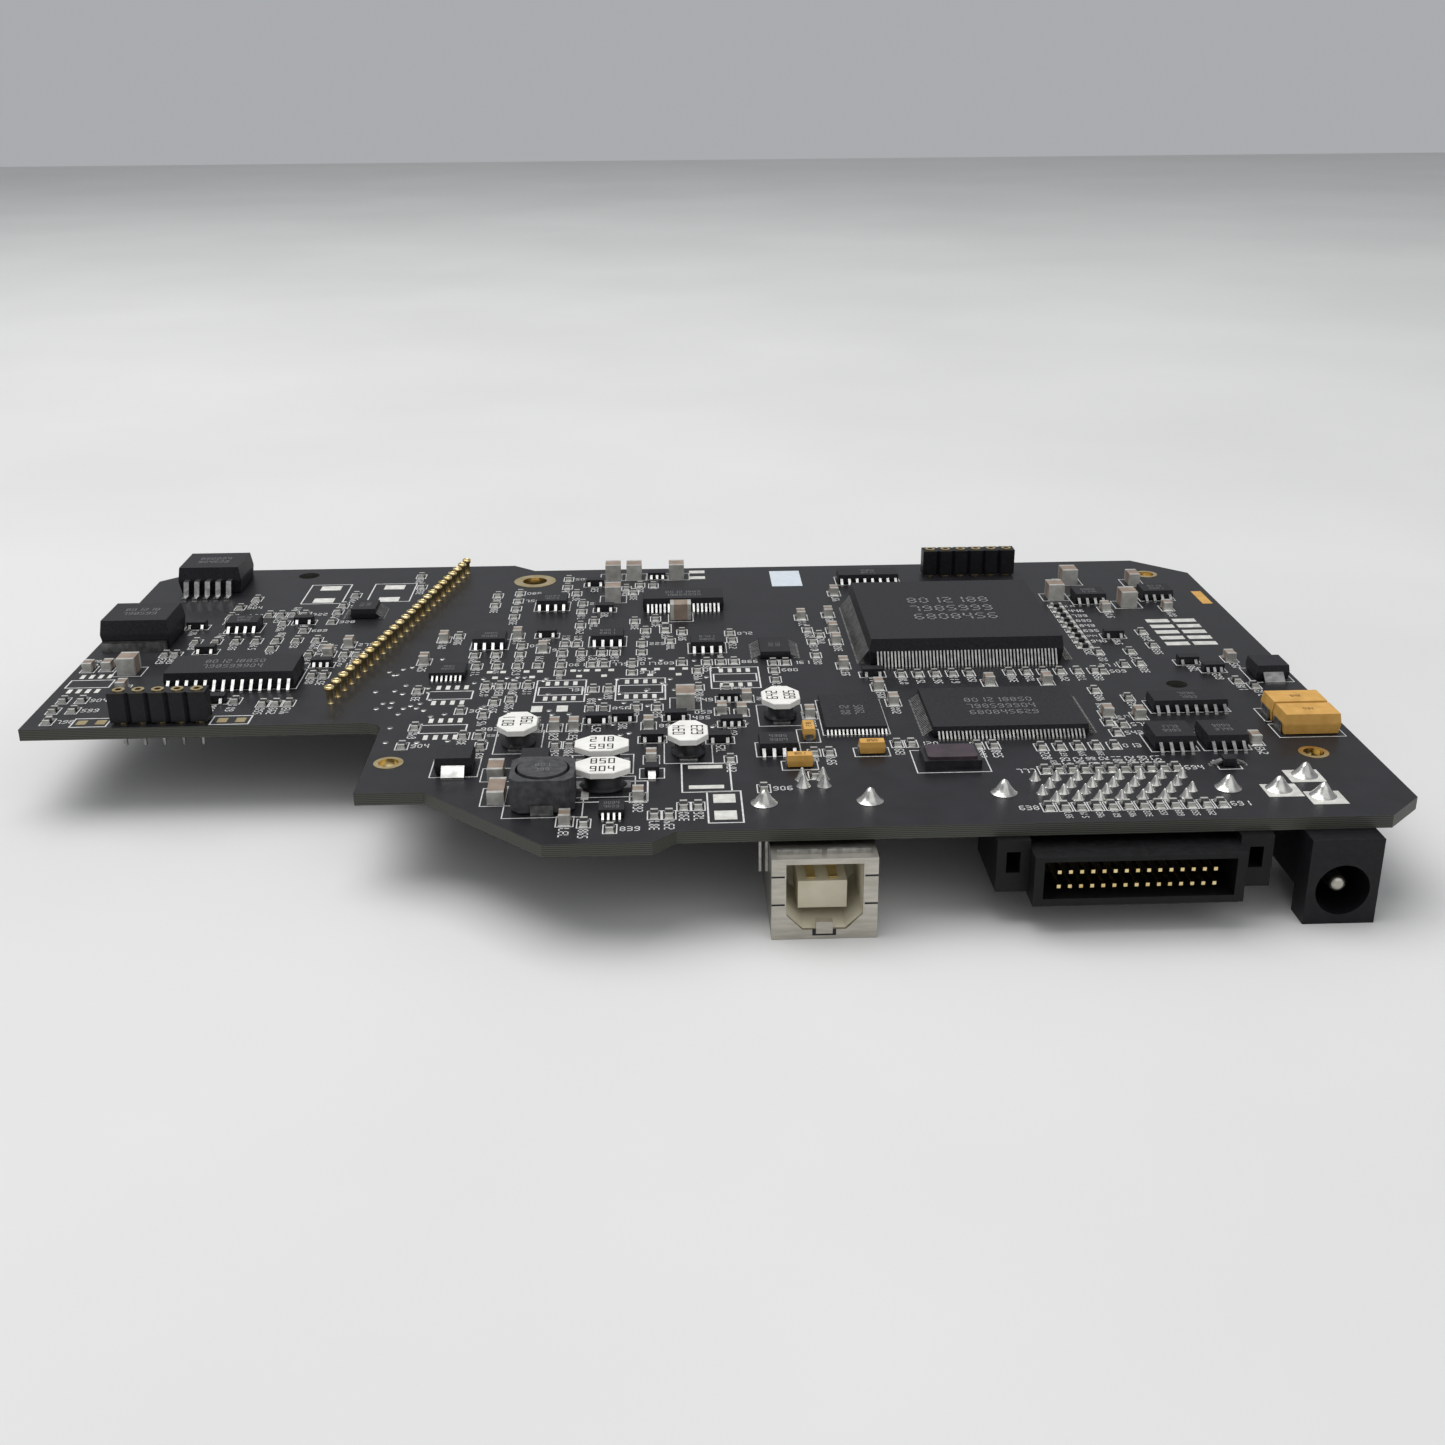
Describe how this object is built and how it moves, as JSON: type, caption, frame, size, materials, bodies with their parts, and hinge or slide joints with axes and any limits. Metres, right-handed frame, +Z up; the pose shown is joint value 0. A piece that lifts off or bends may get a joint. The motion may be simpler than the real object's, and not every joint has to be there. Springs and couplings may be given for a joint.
{
  "type": "spectrometer control board",
  "caption": "Dark circuit board for a spectrometer, with a USB socket, a power jack and a two-row header under its front edge.",
  "frame": {"origin": "Middle of the whole board's length and of its depth from the header's face to the back edge, level with the undersides of the USB socket and the power jack.", "axes": "+X along the board to the right as seen from its sockets, +Y from the sockets to the back edge, +Z up through the board"},
  "size_m": [0.172, 0.1102, 0.0168],
  "materials": {
    "board_laminate": "matte",
    "gold_plate": "polished",
    "solder": "satin",
    "steel_sheet": "satin",
    "cream_plastic": "matte",
    "black_plastic": "matte",
    "tinned_lead": "satin",
    "moulding": "matte",
    "white_ceramic": "matte",
    "tan_ceramic": "matte",
    "black_ceramic": "satin",
    "grey_ferrite": "matte",
    "yellow_moulding": "matte",
    "lid_metal": "satin"
  },
  "bodies": {
    "root": {"circuit_board": "board_laminate", "hole_plating": "gold_plate", "usb_shell": "steel_sheet", "usb_insulator": "cream_plastic", "usb_contacts": "gold_plate", "jack_housing": "black_plastic", "jack_centre_pin": "steel_sheet", "jack_contacts": "tinned_lead", "header_shroud": "black_plastic", "header_pins": "gold_plate", "header_locks": "tinned_lead", "joint_solder": "solder", "gate_array_body": "moulding", "gate_array_leads": "tinned_lead", "usb_controller_body": "moulding", "usb_controller_leads": "tinned_lead", "memory_body": "moulding", "memory_leads": "tinned_lead", "converter_body": "moulding", "converter_leads": "tinned_lead", "line_driver_body": "moulding", "line_driver_leads": "tinned_lead", "small_outline_bodies": "moulding", "small_outline_leads": "tinned_lead", "fine_outline_bodies": "moulding", "fine_outline_leads": "tinned_lead", "transistor_bodies": "moulding", "transistor_leads": "tinned_lead", "regulator_bodies": "moulding", "regulator_tabs": "tinned_lead", "regulator_leads": "tinned_lead", "oscillator_base": "black_ceramic", "oscillator_lid": "lid_metal", "coil_bodies": "white_ceramic", "coil_terminals": "tinned_lead", "shielded_case": "grey_ferrite", "shielded_core": "grey_ferrite", "shielded_terminals": "tinned_lead", "tantalum_bodies": "yellow_moulding", "tantalum_terminals": "tinned_lead", "rectifier_bodies": "moulding", "rectifier_leads": "tinned_lead", "large_capacitors": "tan_ceramic", "large_capacitor_ends": "tinned_lead", "small_capacitors": "tan_ceramic", "chip_resistors": "black_ceramic", "column_resistors": "black_ceramic", "socket_housings": "black_plastic", "socket_contacts": "gold_plate", "sensor_receptacles": "gold_plate"}
  },
  "joints": []
}
